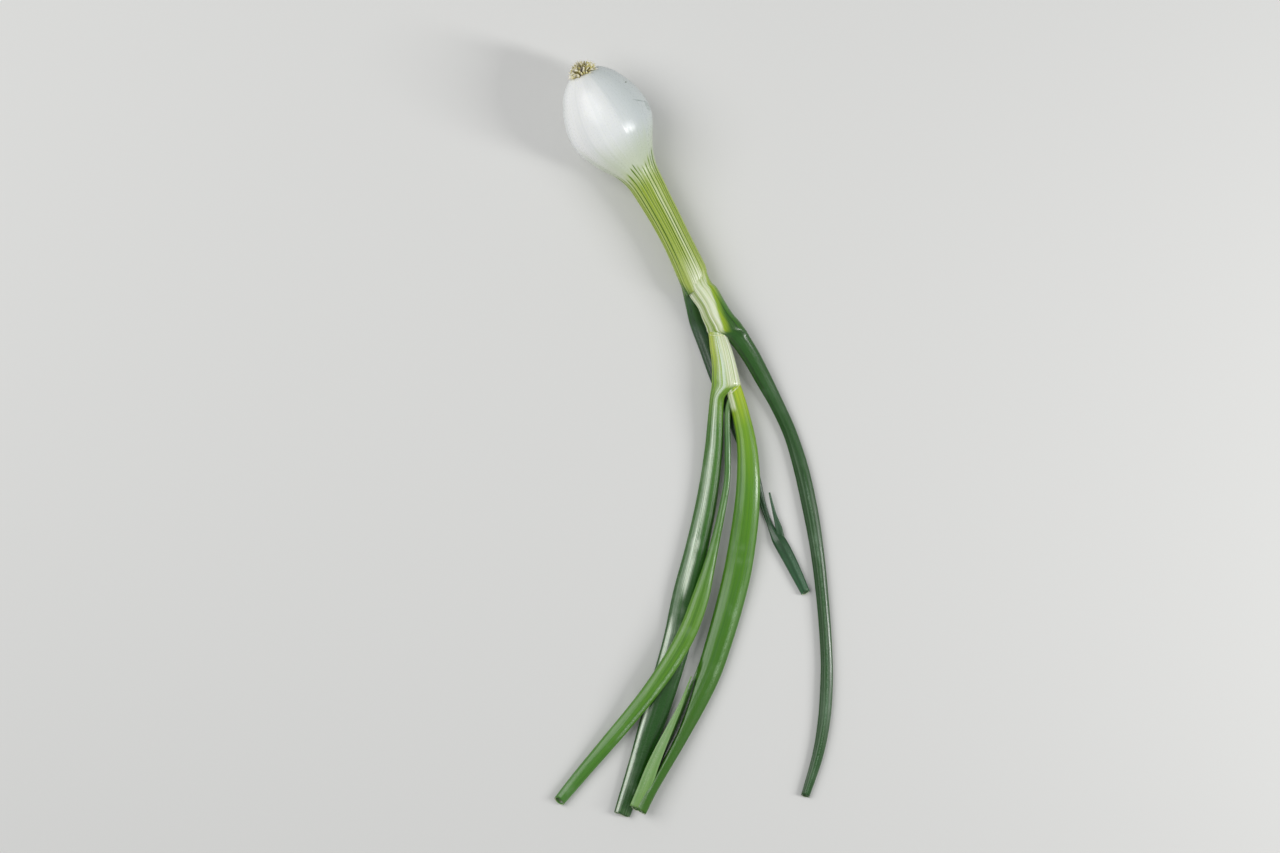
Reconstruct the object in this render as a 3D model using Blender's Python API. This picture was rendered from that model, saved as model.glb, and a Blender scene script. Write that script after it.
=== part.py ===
"""One spring onion, pulled and trimmed, lying on a flat surface.

The bulb and its ribbed neck lie highest at the root end and sink towards the leaves. Each inner
leaf comes out of the mouth of the one around it, and the leaf ends are cut open.
Coordinates are millimetres times MM, +Z up, with the origin on the small flat spot
that the bulb rests on. The leaves run towards -Y.
"""
import math
import random

import bmesh
import bpy
from mathutils import Vector

MM = 0.001
FIT_GAP = 0.35
LEAF_WALL = 0.75
MOUTH_DEPTH = 7.0
RING_STEP = 5.6

# Spine of the bulb and neck, from the root plate to the neck's mouth: x, y, z.
BULB_SPINE = (
    (-11.6, 20.4, 21.9),
    (-2.3, 3.2, 16.7),
    (3.3, -6.9, 14.2),
    (8.3, -14.6, 12.5),
    (12.4, -20.9, 11.4),
    (16.9, -28.9, 10.3),
    (21.3, -37.0, 9.5),
    (26.6, -47.6, 8.6),
    (30.5, -56.0, 7.9),
    (32.4, -61.0, 7.5),
)
# Bulb and neck profile: distance from the root plate along the spine, radius.
BULB_PROFILE = (
    (0.0, 4.9),
    (0.9, 6.9),
    (3.1, 9.5),
    (5.4, 11.4),
    (8.0, 12.9),
    (11.5, 14.6),
    (15.4, 15.9),
    (19.3, 16.6),
    (23.0, 16.6),
    (26.6, 15.9),
    (30.8, 14.1),
    (34.0, 12.3),
    (37.0, 10.5),
    (40.0, 8.9),
    (43.0, 7.7),
    (46.5, 6.9),
    (51.0, 6.5),
    (58.5, 6.05),
    (70.0, 5.65),
    (79.0, 5.75),
    (86.0, 5.95),
    (92.2, 5.7),
)
BULB_SIDES = 60
RIB_HEIGHT = 0.24
RIB_START = 36.0
RIB_FULL = 47.0

# Root stubs: a low plate with short clipped roots standing out of it all round.
PLATE_RADIUS = 4.5
PLATE_HEIGHT = 2.4
STUB_COUNT = 62
STUB_SIDES = 5
STUB_RADIUS = 0.52
STUB_SPREAD = 1.25

# Leaf stations: x, y, height of the underside, width, thickness, roll in degrees.
BACK_BLADE = (
    (26.6, -55.4, 3.1, 2.6, 1.3, 0.0),
    (28.1, -60.2, 2.4, 3.6, 1.8, 0.0),
    (29.6, -65.8, 1.5, 4.6, 2.3, 0.0),
    (32.1, -74.3, 0.5, 5.6, 2.8, 0.0),
    (35.6, -83.2, 0.0, 5.8, 2.9, 0.0),
    (40.2, -95.9, 0.0, 5.8, 2.9, 0.0),
    (46.0, -110.1, 0.0, 5.6, 2.8, 0.0),
    (51.4, -123.6, 0.0, 5.2, 2.6, 0.0),
    (55.4, -136.0, 0.0, 3.6, 1.9, 0.0),
    (58.0, -145.4, 0.0, 2.4, 1.2, 0.0),
    (60.4, -152.2, 0.0, 2.3, 1.1, 0.0),
    (62.0, -155.6, 0.0, 3.4, 1.9, 0.0),
    (63.9, -158.4, 0.0, 5.2, 2.7, 0.0),
    (68.7, -167.3, 0.0, 5.1, 2.7, 0.0),
    (74.6, -179.6, 0.0, 3.7, 2.4, 0.0),
)
BACK_SLIVER = (
    (65.6, -161.6, 1.1, 2.6, 0.9, 0.0),
    (64.1, -154.6, 1.3, 2.7, 0.8, 0.0),
    (62.3, -148.6, 1.6, 1.5, 0.7, 0.0),
    (60.2, -140.0, 2.2, 0.7, 0.6, 0.0),
)
RIGHT_SHEATH = (
    (27.6, -50.4, 4.9, 8.0, 7.2, 0.0),
    (30.9, -57.0, 4.7, 8.6, 7.4, 0.0),
    (33.3, -61.6, 4.4, 8.8, 7.6, 0.0),
    (35.8, -66.6, 4.2, 8.4, 7.4, 0.0),
    (38.1, -72.4, 4.1, 8.0, 7.2, 0.0),
    (40.3, -78.6, 4.0, 7.7, 6.9, 0.0),
)
RIGHT_BLADE = (
    (35.4, -62.4, 5.4, 5.0, 4.6, 0.0),
    (38.6, -67.0, 5.0, 6.4, 4.7, 0.0),
    (42.4, -72.2, 4.6, 7.4, 4.6, 0.0),
    (48.1, -79.7, 3.8, 7.5, 4.2, 0.0),
    (52.9, -87.2, 2.9, 7.2, 4.0, 0.0),
    (57.9, -96.2, 1.8, 6.6, 3.8, 0.0),
    (63.1, -106.0, 0.9, 5.6, 3.4, 0.0),
    (68.3, -117.4, 0.2, 5.5, 3.4, 0.0),
    (72.4, -130.5, 0.0, 6.1, 3.5, 0.0),
    (76.0, -146.7, 0.0, 6.1, 3.5, 0.0),
    (78.7, -162.9, 0.0, 5.4, 3.4, 0.0),
    (81.0, -183.3, 0.0, 4.9, 3.3, 0.0),
    (82.3, -202.5, 0.0, 4.8, 3.2, 0.0),
    (82.3, -216.0, 0.0, 5.2, 3.2, 0.0),
    (81.4, -228.3, 0.0, 5.0, 3.1, 0.0),
    (78.9, -241.8, 0.0, 4.4, 2.9, 0.0),
    (73.9, -258.2, 0.0, 3.5, 2.6, 0.0),
)
LEFT_STEM = (
    (37.6, -71.8, 5.3, 5.2, 4.8, 0.0),
    (38.8, -75.8, 5.0, 5.8, 5.2, 0.0),
    (40.1, -80.4, 4.4, 7.3, 6.1, 0.0),
    (41.2, -85.1, 4.0, 8.2, 6.4, 0.0),
    (42.8, -92.4, 3.7, 9.8, 6.4, 0.0),
    (43.4, -98.2, 3.7, 10.8, 5.8, 0.0),
)
LEFT_BLADE = (
    (41.9, -93.0, 4.7, 5.0, 4.2, 0.0),
    (40.7, -101.4, 4.1, 5.8, 4.5, 0.0),
    (39.6, -109.0, 3.1, 6.0, 4.5, 0.0),
    (38.7, -123.6, 1.2, 7.2, 4.4, 0.0),
    (36.0, -142.8, 0.1, 8.2, 4.4, 0.0),
    (32.0, -162.1, 0.0, 9.1, 4.4, 0.0),
    (27.9, -179.4, 0.0, 10.3, 4.2, 0.0),
    (24.6, -196.7, 0.0, 11.0, 4.2, 0.0),
    (19.6, -214.4, 0.0, 10.7, 4.1, 0.0),
    (14.8, -229.5, 0.0, 9.9, 3.8, 0.0),
    (9.2, -246.8, 0.0, 8.1, 3.5, 0.0),
    (3.0, -265.3, 0.0, 6.6, 3.3, 0.0),
)
BROAD_BLADE = (
    (44.7, -93.8, 5.2, 4.4, 3.4, 0.0),
    (46.6, -100.6, 4.6, 6.2, 4.3, 0.0),
    (49.4, -111.0, 3.8, 6.9, 4.9, 0.0),
    (51.4, -121.7, 3.5, 7.9, 5.0, 0.0),
    (52.0, -133.2, 3.3, 9.1, 5.0, 0.0),
    (51.5, -144.8, 2.8, 9.9, 5.0, 0.0),
    (50.2, -156.3, 1.8, 10.5, 4.9, 0.0),
    (47.6, -171.7, 0.5, 10.8, 4.8, 0.0),
    (44.3, -185.2, 0.0, 10.6, 4.8, 0.0),
    (40.6, -198.0, 0.0, 10.2, 4.7, 0.0),
    (36.8, -209.4, 0.0, 9.8, 4.6, 0.0),
    (31.8, -220.4, 0.2, 9.3, 4.5, 4.0),
    (25.2, -232.9, 0.9, 8.5, 4.2, 10.0),
    (18.4, -245.2, 1.9, 7.8, 4.0, 15.0),
    (13.4, -254.5, 2.6, 7.2, 3.9, 17.0),
    (9.2, -263.4, 3.1, 6.8, 3.8, 17.0),
)
BROAD_FLAP = (
    (10.4, -257.4, 6.0, 1.6, 0.9, 17.0),
    (12.4, -252.2, 6.1, 3.2, 0.9, 20.0),
    (17.4, -240.8, 5.3, 3.4, 0.8, 24.0),
    (24.2, -229.0, 4.9, 2.8, 0.8, 24.0),
    (29.6, -210.8, 5.2, 0.7, 0.7, 24.0),
)
CENTRE_BLADE = (
    (46.0, -101.2, 6.0, 1.8, 1.6, 0.0),
    (44.2, -107.0, 5.0, 2.2, 1.9, 0.0),
    (43.9, -114.0, 4.6, 2.3, 2.0, 0.0),
    (44.1, -123.6, 4.4, 2.5, 2.1, 0.0),
    (43.8, -135.1, 4.0, 2.5, 2.1, 0.0),
    (41.9, -146.4, 3.8, 2.9, 2.3, 0.0),
    (39.4, -158.2, 3.8, 3.5, 2.6, 0.0),
    (36.9, -168.4, 4.0, 4.7, 2.9, 0.0),
    (33.5, -180.4, 4.4, 6.6, 3.3, 0.0),
    (28.9, -192.9, 4.7, 7.2, 3.6, 0.0),
    (22.4, -204.8, 4.7, 7.1, 3.7, 0.0),
    (14.3, -216.4, 4.0, 6.6, 3.7, 0.0),
    (6.0, -227.0, 2.3, 6.2, 3.6, 0.0),
    (-2.2, -236.8, 1.0, 5.9, 3.5, 0.0),
    (-10.8, -247.0, 0.2, 5.5, 3.3, 0.0),
    (-21.8, -260.3, 0.0, 4.6, 3.1, 0.0),
)
# Slit in the broad leaf, beside its torn flap: x, y, height, width, thickness, roll.
BROAD_SLIT = (
    (15.9, -252.6, 4.9, 1.0, 1.6, 0.0),
    (20.8, -240.6, 4.0, 2.4, 2.2, 0.0),
    (26.6, -227.4, 3.6, 2.8, 2.4, 0.0),
    (31.8, -214.4, 3.4, 1.2, 1.8, 0.0),
)


def start_empty():
    """Remove what is in the scene, and make the collections for parts and cutters."""
    for old in list(bpy.data.objects):
        bpy.data.objects.remove(old, do_unlink=True)
    folders = []
    for name in ("spring_onion", "cutters"):
        folder = bpy.data.collections.new(name)
        bpy.context.scene.collection.children.link(folder)
        folders.append(folder)
    return folders


def plant_material(name, colour, roughness):
    """Principled material for one part of the plant."""
    material = bpy.data.materials.new(name)
    material.use_nodes = True
    shader = material.node_tree.nodes["Principled BSDF"]
    shader.inputs["Base Color"].default_value = (*colour, 1.0)
    shader.inputs["Roughness"].default_value = roughness
    shader.inputs["Metallic"].default_value = 0.0
    return material


def smooth_value(keys, values, place):
    """Cubic curve through values at the keys, read at a place along them."""
    last = len(keys) - 1
    index = 0
    while index < last - 1 and place > keys[index + 1]:
        index += 1

    def slope(at):
        low = max(at - 1, 0)
        high = min(at + 1, last)
        return (values[high] - values[low]) / (keys[high] - keys[low])

    span = keys[index + 1] - keys[index]
    t = (place - keys[index]) / span
    start = (2 * t ** 3 - 3 * t ** 2 + 1) * values[index]
    end = (3 * t ** 2 - 2 * t ** 3) * values[index + 1]
    leave = (t ** 3 - 2 * t ** 2 + t) * span * slope(index)
    arrive = (t ** 3 - t ** 2) * span * slope(index + 1)
    return start + end + leave + arrive


def chord_keys(points, axes):
    """Running length along the points, over their first axes."""
    keys = [0.0]
    for before, after in zip(points, points[1:]):
        keys.append(keys[-1] + math.dist(before[:axes], after[:axes]))
    return keys


def leaf_rows(stations, step=RING_STEP):
    """Rows like the stations, evenly spaced along a smooth curve through them."""
    keys = chord_keys(stations, 2)
    count = max(4, round(keys[-1] / step) + 1)
    rows = []
    for ring in range(count):
        place = keys[-1] * ring / (count - 1)
        rows.append([smooth_value(keys, column, place) for column in zip(*stations)])
    return rows


def leaf_centres(rows):
    """Section centres: each stands above its underside by half of its rolled height."""
    centres = []
    for x, y, lift, width, thickness, roll in rows:
        tilt = math.radians(roll)
        half = math.hypot(width / 2 * math.sin(tilt), thickness / 2 * math.cos(tilt))
        centres.append(Vector((x, y, lift + half)))
    return centres


def leaf_sections(rows):
    """Each section's centre, sideways half axis, upward half axis and direction."""
    centres = leaf_centres(rows)
    sections = []
    for index, row in enumerate(rows):
        ahead = centres[min(index + 1, len(rows) - 1)] - centres[max(index - 1, 0)]
        ahead.normalize()
        side = ahead.cross(Vector((0, 0, 1))).normalized()
        over = side.cross(ahead)
        tilt = math.radians(row[5])
        across = side * math.cos(tilt) - over * math.sin(tilt)
        upward = over * math.cos(tilt) + side * math.sin(tilt)
        sections.append((centres[index], across * row[3] / 2, upward * row[4] / 2, ahead))
    return sections


def oval(section, sides, shrink=0.0, shift=0.0, rib=0.0):
    """Points round one section, made smaller by shrink all round and moved ahead by shift."""
    centre, across, upward, ahead = section
    points = []
    for corner in range(sides):
        angle = 2 * math.pi * corner / sides
        swell = rib * (1 if corner % 2 else -1)
        wide = across.length - shrink + swell
        tall = upward.length - shrink + swell
        point = centre + ahead * shift
        point = point + across.normalized() * wide * math.cos(angle)
        point = point + upward.normalized() * tall * math.sin(angle)
        points.append(point)
    return points


def loft(name, rings, material, folder):
    """One closed solid through rings of points, with a flat cap on each end."""
    mesh = bmesh.new()
    rows = [[mesh.verts.new(point * MM) for point in ring] for ring in rings]
    for near, far in zip(rows, rows[1:]):
        for corner in range(len(near)):
            following = (corner + 1) % len(near)
            mesh.faces.new((near[corner], near[following], far[following], far[corner]))
    mesh.faces.new(rows[0])
    mesh.faces.new(rows[-1])
    bmesh.ops.recalc_face_normals(mesh, faces=mesh.faces)
    data = bpy.data.meshes.new(name)
    mesh.to_mesh(data)
    mesh.free()
    if material:
        data.materials.append(material)
    data.shade_smooth()
    solid = bpy.data.objects.new(name, data)
    folder.objects.link(solid)
    return solid


def blade_rings(stations, sides, rib=0.0, open_end=True):
    """Rings of a leaf blade, with a hollow mouth where its tip was cut off."""
    sections = leaf_sections(leaf_rows(stations))
    rings = [oval(section, sides, rib=rib) for section in sections]
    if open_end:
        rings.append(oval(sections[-1], sides, shrink=LEAF_WALL, shift=0.15))
        rings.append(oval(sections[-2], sides, shrink=LEAF_WALL, shift=MOUTH_DEPTH - RING_STEP))
    return rings


def grown_plug(stations, length, sides=16):
    """Rings of the first stretch of a leaf, larger all round by the fit gap."""
    sections = leaf_sections(leaf_rows(stations, step=3.0))
    centre = sections[0][0]
    near = [section for section in sections if (section[0] - centre).length <= length]
    rings = [oval(near[0], sides, shrink=-FIT_GAP, shift=-FIT_GAP)]
    return rings + [oval(section, sides, shrink=-FIT_GAP) for section in near[1:]]


def apply_boolean(target, tool, operation):
    """Join to the target, or take away from it, a solid that is then removed."""
    change = target.modifiers.new(operation, "BOOLEAN")
    change.operation = operation
    change.solver = "EXACT"
    change.object = tool
    graph = bpy.context.evaluated_depsgraph_get()
    result = bpy.data.meshes.new_from_object(target.evaluated_get(graph))
    target.modifiers.remove(change)
    target.data = result
    bpy.data.objects.remove(tool, do_unlink=True)


def cut_socket(target, stations, length, cutters):
    """Make room in one piece for the base of the leaf that comes out of it."""
    tool = loft("socket", grown_plug(stations, length), None, cutters)
    tool.hide_render = True
    tool.display_type = "WIRE"
    apply_boolean(target, tool, "DIFFERENCE")


def spine_section(distance, keys):
    """Centre and direction of the bulb's spine at a distance from the root plate."""
    columns = list(zip(*BULB_SPINE))
    reach = 0.5
    low = max(distance - reach, 0.0)
    high = min(distance + reach, keys[-1])
    before = Vector([smooth_value(keys, column, low) for column in columns])
    after = Vector([smooth_value(keys, column, high) for column in columns])
    centre = Vector([smooth_value(keys, column, distance) for column in columns])
    return centre, (after - before).normalized()


def bulb_rings():
    """Rings of the bulb and neck, ribbed on the neck and fading out on the bulb's shoulder."""
    keys = chord_keys(BULB_SPINE, 3)
    fit = keys[-1] / BULB_PROFILE[-1][0]
    rings = []
    for distance, radius in BULB_PROFILE:
        centre, ahead = spine_section(distance * fit, keys)
        side = ahead.cross(Vector((0, 0, 1))).normalized()
        over = side.cross(ahead)
        share = min(max((distance - RIB_START) / (RIB_FULL - RIB_START), 0.0), 1.0)
        ring = []
        for corner in range(BULB_SIDES):
            angle = 2 * math.pi * corner / BULB_SIDES
            reach = radius + RIB_HEIGHT * share * (1 if corner % 2 else -1)
            ring.append(centre + side * reach * math.cos(angle) + over * reach * math.sin(angle))
        rings.append(ring)
    return rings


def make_bulb(parts, cutters):
    """Bulb and neck, with its flat spot and the mouth that holds two leaves."""
    white = plant_material("bulb_skin", (0.80, 0.84, 0.82), 0.32)
    bulb = loft("bulb", bulb_rings(), white, parts)
    cut_socket(bulb, RIGHT_SHEATH, 30.0, cutters)
    cut_socket(bulb, BACK_BLADE, 16.0, cutters)
    mesh = bmesh.new()
    mesh.from_mesh(bulb.data)
    everything = mesh.verts[:] + mesh.edges[:] + mesh.faces[:]
    bmesh.ops.bisect_plane(mesh, geom=everything, plane_co=(0, 0, 0), plane_no=(0, 0, -1),
                           clear_outer=True)
    rim = [edge for edge in mesh.edges if edge.is_boundary]
    bmesh.ops.contextual_create(mesh, geom=rim)
    bmesh.ops.recalc_face_normals(mesh, faces=mesh.faces)
    mesh.to_mesh(bulb.data)
    mesh.free()


def make_roots(parts):
    """Root plate with its clipped stubs, joined in one solid."""
    cream = plant_material("root_cream", (0.72, 0.66, 0.42), 0.75)
    draw = random.Random(7)
    keys = chord_keys(BULB_SPINE, 3)
    base, ahead = spine_section(0.0, keys)
    outward = -ahead
    side = outward.cross(Vector((0, 0, 1))).normalized()
    over = side.cross(outward)
    base = base + outward * FIT_GAP
    sections = []
    for share in (0.0, 0.35, 0.65, 0.9, 1.0):
        radius = PLATE_RADIUS * math.sqrt(max(1.0 - share ** 2, 0.05))
        place = base + outward * PLATE_HEIGHT * share
        sections.append((place, side * radius, over * radius, outward))
    plate = loft("root_tuft", [oval(section, 18) for section in sections], cream, parts)
    stubs = bpy.data.collections.new("stubs")
    bpy.context.scene.collection.children.link(stubs)
    golden = math.pi * (3 - math.sqrt(5))
    for index in range(STUB_COUNT):
        share = (index + 0.5) / STUB_COUNT
        lean = STUB_SPREAD * math.sqrt(share) + draw.uniform(-0.06, 0.06)
        turn = index * golden + draw.uniform(-0.15, 0.15)
        around = side * math.cos(turn) + over * math.sin(turn)
        aim = outward * math.cos(lean) + around * math.sin(lean)
        foot = base + outward * 0.7 + around * (PLATE_RADIUS - 1.1) * math.sqrt(share)
        length = draw.uniform(2.0, 3.3) + 0.9 * share
        across = aim.cross(over).normalized()
        upward = across.cross(aim)
        width = STUB_RADIUS * draw.uniform(0.85, 1.1)
        rings = []
        for reach, size in ((0.0, 1.0), (length * 0.6, 1.05), (length, 0.7)):
            section = (foot + aim * reach, across * width * size, upward * width * size, aim)
            rings.append(oval(section, STUB_SIDES))
        loft("stub", rings, cream, stubs)
    join = plate.modifiers.new("stubs", "BOOLEAN")
    join.operation = "UNION"
    join.solver = "EXACT"
    join.operand_type = "COLLECTION"
    join.collection = stubs
    graph = bpy.context.evaluated_depsgraph_get()
    result = bpy.data.meshes.new_from_object(plate.evaluated_get(graph))
    plate.modifiers.remove(join)
    plate.data = result
    for stub in list(stubs.objects):
        bpy.data.objects.remove(stub, do_unlink=True)
    bpy.data.collections.remove(stubs)


def make_back_leaf(parts):
    """Outermost leaf: torn open near its end, with a loose sliver."""
    green = plant_material("back_green", (0.02, 0.07, 0.02), 0.4)
    leaf = loft("back_leaf", blade_rings(BACK_BLADE, 14), green, parts)
    sliver = loft("sliver", blade_rings(BACK_SLIVER, 6, open_end=False), green, parts)
    apply_boolean(leaf, sliver, "UNION")


def make_right_leaf(parts, cutters):
    """Leaf whose pale sheath comes out of the neck and whose blade swings to the right."""
    green = plant_material("right_green", (0.03, 0.11, 0.02), 0.38)
    leaf = loft("right_leaf", blade_rings(RIGHT_SHEATH, 28, 0.1, False), green, parts)
    blade = loft("blade", blade_rings(RIGHT_BLADE, 16), green, parts)
    apply_boolean(leaf, blade, "UNION")
    cut_socket(leaf, LEFT_STEM, 14.0, cutters)


def make_left_leaf(parts, cutters):
    """Leaf whose stem comes out of the right leaf's mouth and whose blade runs on the left."""
    green = plant_material("left_green", (0.08, 0.2, 0.05), 0.36)
    leaf = loft("left_leaf", blade_rings(LEFT_STEM, 28, 0.1, False), green, parts)
    blade = loft("blade", blade_rings(LEFT_BLADE, 18), green, parts)
    apply_boolean(leaf, blade, "UNION")
    cut_socket(leaf, BROAD_BLADE, 26.0, cutters)


def make_broad_leaf(parts, cutters):
    """Widest leaf: its left wall is slit near the end, and a strip of it stands loose."""
    green = plant_material("broad_green", (0.12, 0.3, 0.02), 0.36)
    leaf = loft("broad_leaf", blade_rings(BROAD_BLADE, 18), green, parts)
    slit = loft("slit", blade_rings(BROAD_SLIT, 8, open_end=False), None, cutters)
    slit.hide_render = True
    slit.display_type = "WIRE"
    apply_boolean(leaf, slit, "DIFFERENCE")
    flap = loft("flap", blade_rings(BROAD_FLAP, 6, open_end=False), green, parts)
    apply_boolean(leaf, flap, "UNION")
    cut_socket(leaf, CENTRE_BLADE, 14.0, cutters)


def make_centre_leaf(parts):
    """Youngest leaf: thin where it comes out, then it crosses over the left leaf."""
    green = plant_material("centre_green", (0.1, 0.26, 0.03), 0.36)
    loft("centre_leaf", blade_rings(CENTRE_BLADE, 16), green, parts)


def main():
    parts, cutters = start_empty()
    make_bulb(parts, cutters)
    make_roots(parts)
    make_back_leaf(parts)
    make_right_leaf(parts, cutters)
    make_left_leaf(parts, cutters)
    make_broad_leaf(parts, cutters)
    make_centre_leaf(parts)


main()
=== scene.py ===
import math
import random

import bmesh
import bpy
from mathutils import Matrix, Vector, noise
from mathutils.bvhtree import BVHTree


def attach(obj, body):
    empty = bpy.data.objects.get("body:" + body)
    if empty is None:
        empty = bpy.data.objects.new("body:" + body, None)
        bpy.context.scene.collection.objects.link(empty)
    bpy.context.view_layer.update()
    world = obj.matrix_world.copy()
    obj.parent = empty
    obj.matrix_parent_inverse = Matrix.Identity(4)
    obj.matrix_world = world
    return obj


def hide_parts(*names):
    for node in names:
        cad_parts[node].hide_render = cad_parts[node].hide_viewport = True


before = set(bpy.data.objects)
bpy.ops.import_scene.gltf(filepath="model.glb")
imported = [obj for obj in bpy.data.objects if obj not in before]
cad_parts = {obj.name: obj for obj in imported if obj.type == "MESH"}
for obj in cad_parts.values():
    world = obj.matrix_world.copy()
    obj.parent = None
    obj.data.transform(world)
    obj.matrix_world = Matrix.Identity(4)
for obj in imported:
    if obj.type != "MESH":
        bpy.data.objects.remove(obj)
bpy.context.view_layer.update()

# Bulb and neck.
# The white bulb is the swollen base of the leaf sheaths, and the neck is the same sheaths drawn
# tight round each other, grown as one piece. Ribs run along the neck and fade on the shoulder.
MM = 0.001
METRE = 1000.0
BULB_SPINE = (
    (-11.6, 20.4, 21.9),
    (-2.3, 3.2, 16.7),
    (3.3, -6.9, 14.2),
    (8.3, -14.6, 12.5),
    (12.4, -20.9, 11.4),
    (16.9, -28.9, 10.3),
    (21.3, -37.0, 9.5),
    (26.6, -47.6, 8.6),
    (30.5, -56.0, 7.9),
    (32.4, -61.0, 7.5),
)
BULB_PROFILE = (
    (0.0, 4.9),
    (0.9, 6.9),
    (3.1, 9.5),
    (5.4, 11.4),
    (8.0, 12.9),
    (11.5, 14.6),
    (15.4, 15.9),
    (19.3, 16.6),
    (23.0, 16.6),
    (26.6, 15.9),
    (30.8, 14.1),
    (34.0, 12.3),
    (37.0, 10.5),
    (40.0, 8.9),
    (43.0, 7.7),
    (46.5, 6.9),
    (51.0, 6.5),
    (58.5, 6.05),
    (70.0, 5.65),
    (79.0, 5.75),
    (86.0, 5.95),
    (92.2, 5.7),
)
ROOT_END_RADII = (0.05, 1.6, 3.4)
BULB_SIDES = 300
BULB_STEP = 0.7
NECK_RIBS = 29
RIB_DEPTH = 0.36
RIB_WIDTH = 0.17
RIB_START = 39.0
RIB_FULL = 50.0
RIB_FADE = 78.0
RIB_FADE_REACH = 12.0
RIB_FADE_SHARE = 0.4
NECK_WALL = 0.35
NECK_HOLLOW = (0.0, 3.0, 6.0)
NECK_DIVE = 0.55
DIVE_REACH = 5.0
NECK_LEAN = 2.4
LEAN_REACH = 12.0
LEAN_CENTRE = 0.15
FACET_ANGLE = 1.82
FACET_STEP = 0.16


def read_curve(keys, values, place):
    """Cubic curve through values at the keys, read at a place along them."""
    last = len(keys) - 1
    index = 0
    while index < last - 1 and place > keys[index + 1]:
        index += 1

    def slope(at):
        low = max(at - 1, 0)
        high = min(at + 1, last)
        return (values[high] - values[low]) / (keys[high] - keys[low])

    span = keys[index + 1] - keys[index]
    t = (place - keys[index]) / span
    start = (2 * t ** 3 - 3 * t ** 2 + 1) * values[index]
    end = (3 * t ** 2 - 2 * t ** 3) * values[index + 1]
    leave = (t ** 3 - 2 * t ** 2 + t) * span * slope(index)
    arrive = (t ** 3 - t ** 2) * span * slope(index + 1)
    return start + end + leave + arrive


def running_length(points, axes):
    """Length along the points up to each of them, over their first axes."""
    keys = [0.0]
    for before, after in zip(points, points[1:]):
        keys.append(keys[-1] + math.dist(before[:axes], after[:axes]))
    return keys


def ease(value, low, high):
    """0 below low, 1 above high, and a smooth rise between them."""
    t = min(max((value - low) / (high - low), 0.0), 1.0)
    return t * t * (3 - 2 * t)


def frame_of(across, upward, ahead, centre):
    """Matrix that puts a unit circle on a section, from its half sizes and its centre."""
    columns = (across.to_4d(), upward.to_4d(), ahead.to_4d(), centre.to_4d())
    matrix = Matrix(columns).transposed()
    matrix[3] = (0.0, 0.0, 0.0, 1.0)
    return matrix


def section_frame(centre, ahead, width, height, roll=0.0):
    """Frame of a section square to a direction, with its side level before the roll."""
    side = ahead.cross(Vector((0, 0, 1))).normalized()
    over = side.cross(ahead)
    across = (side * math.cos(roll) - over * math.sin(roll)) * width
    upward = (over * math.cos(roll) + side * math.sin(roll)) * height
    return frame_of(across, upward, ahead, centre)


def close_ring(mesh, edges):
    """Fill a ring of open edges with one face."""
    bmesh.ops.contextual_create(mesh, geom=edges)


def grow_tube(mesh, frames, sides):
    """Extrude a circle along the frames; returns its rings of points, first and last edges."""
    ring = bmesh.ops.create_circle(mesh, segments=sides, radius=1.0, matrix=frames[0])["verts"]
    edges = list({edge for vertex in ring for edge in vertex.link_edges})
    first = edges
    rings = [ring]
    for before, after in zip(frames, frames[1:]):
        grown = bmesh.ops.extrude_edge_only(mesh, edges=edges)["geom"]
        ring = [item for item in grown if isinstance(item, bmesh.types.BMVert)]
        edges = [item for item in grown if isinstance(item, bmesh.types.BMEdge) and item.is_boundary]
        bmesh.ops.transform(mesh, matrix=after @ before.inverted(), verts=ring)
        rings.append(ring)
    return rings, first, edges


def mark_ring(mesh, ring, matrix, distance, relief=None, dark=0.0):
    """Note each point's place round and along the piece, and raise or sink it by the relief."""
    place = mesh.verts.layers.float_vector["place"]
    groove = mesh.verts.layers.float["groove"]
    back = matrix.inverted()
    across = matrix.col[0].to_3d()
    upward = matrix.col[1].to_3d()
    for vertex in ring:
        local = back @ vertex.co
        angle = math.atan2(local.y, local.x)
        vertex[place] = (math.cos(angle), math.sin(angle), distance * MM)
        vertex[groove] = dark
        if relief:
            lift, vertex[groove] = relief(angle, distance)
            outward = across * math.cos(angle) / across.length_squared
            outward = outward + upward * math.sin(angle) / upward.length_squared
            vertex.co += outward.normalized() * lift


def new_mesh():
    """Empty bmesh in millimetres, with the attributes that the materials read."""
    mesh = bmesh.new()
    mesh.verts.layers.float_vector.new("place")
    mesh.verts.layers.float.new("groove")
    return mesh


skins = []


def finish_piece(mesh, name, material, slot, *nodes):
    """Turn a bmesh in millimetres into a piece of the onion, standing for the given nodes."""
    for vertex in mesh.verts:
        vertex.co.z = max(vertex.co.z, 0.0)
    bmesh.ops.recalc_face_normals(mesh, faces=mesh.faces)
    skins.append(BVHTree.FromBMesh(mesh))
    bmesh.ops.scale(mesh, vec=(MM, MM, MM), verts=mesh.verts)
    data = bpy.data.meshes.new(name)
    mesh.to_mesh(data)
    mesh.free()
    data.shade_smooth()
    data.materials.append(material)
    piece = bpy.data.objects.new(name, data)
    bpy.context.scene.collection.objects.link(piece)
    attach(piece, "root")
    if nodes:
        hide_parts(*nodes)


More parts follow.
